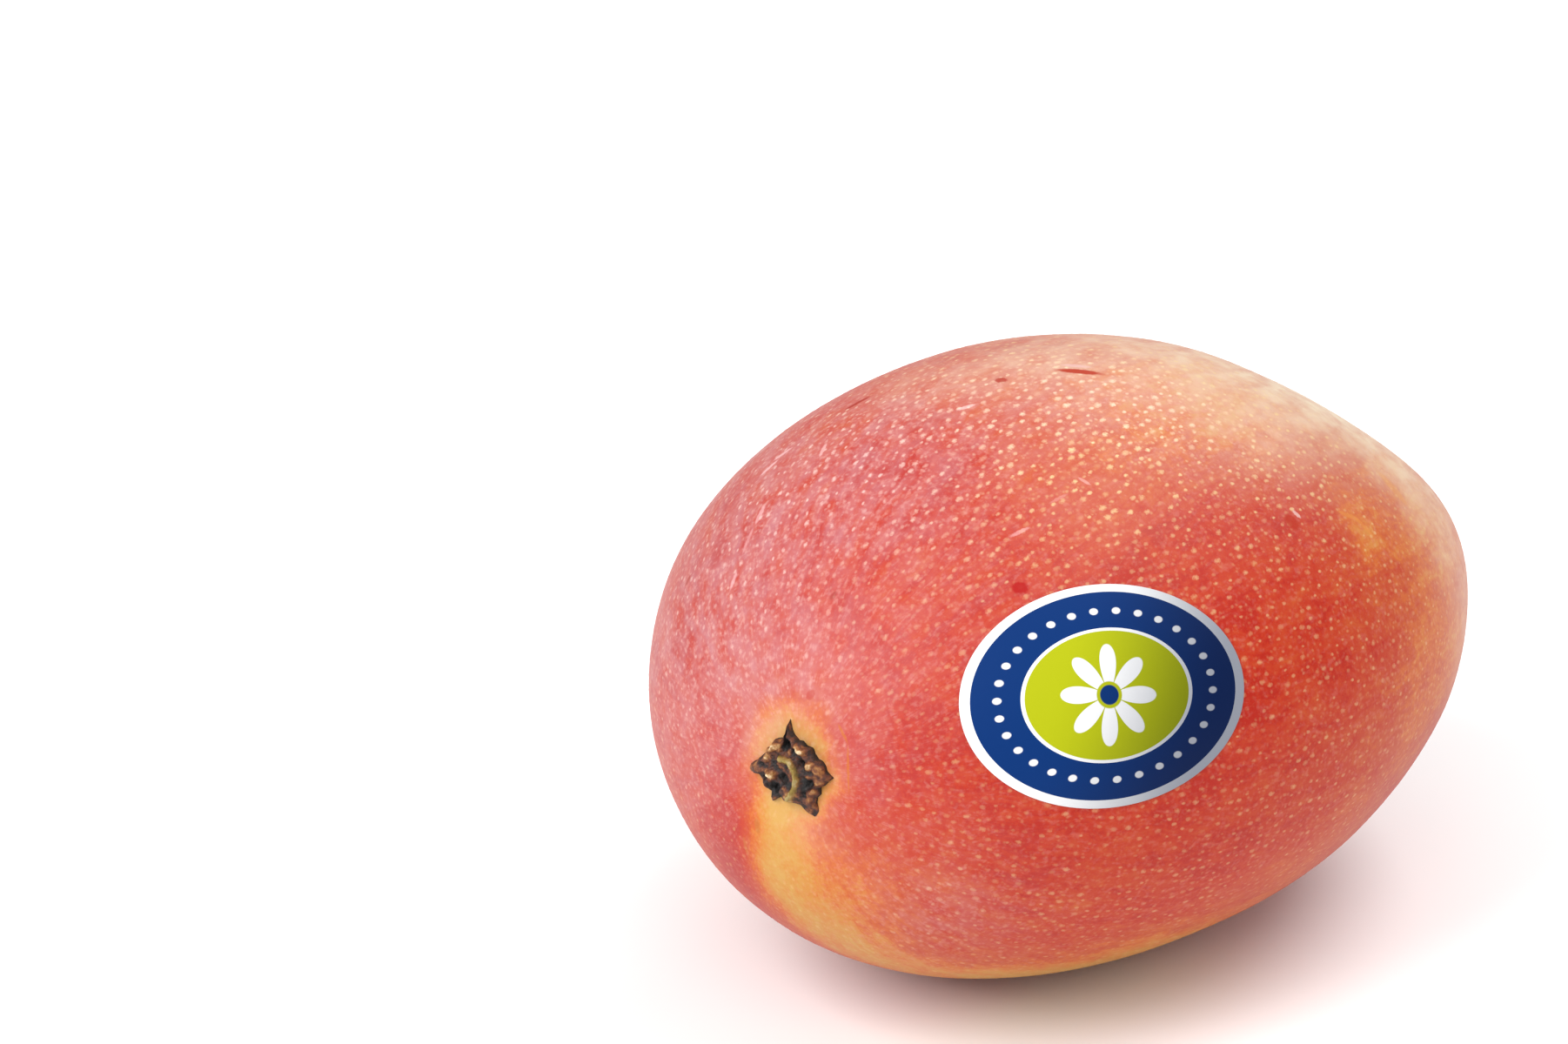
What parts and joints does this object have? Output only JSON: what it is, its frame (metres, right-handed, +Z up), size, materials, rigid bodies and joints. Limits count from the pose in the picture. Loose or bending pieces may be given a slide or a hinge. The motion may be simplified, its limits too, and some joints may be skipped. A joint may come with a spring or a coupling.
{
  "type": "mango",
  "caption": "Whole ripe mango lying on its cheek, with a dry woody stem stub and an oval paper sticker on its red skin.",
  "frame": {"origin": "on the surface the fruit rests on, under the middle of the part's box", "axes": "+X along the fruit from the stem end to the apex, +Y across its breadth, +Z up through its thickness; the sticker faces -Y"},
  "size_m": [0.1236, 0.096, 0.0822],
  "materials": {
    "skin": "waxy fruit skin, coral red with a rose bloom, yellow round the stem, pale dots, satin",
    "stem_wood": "dry, rough, dark brown, broken end",
    "label_paper": "coated and printed blue, lime green and white, satin"
  },
  "bodies": {
    "root": {"fruit": "skin", "stem": "stem_wood", "label": "label_paper"}
  },
  "joints": []
}
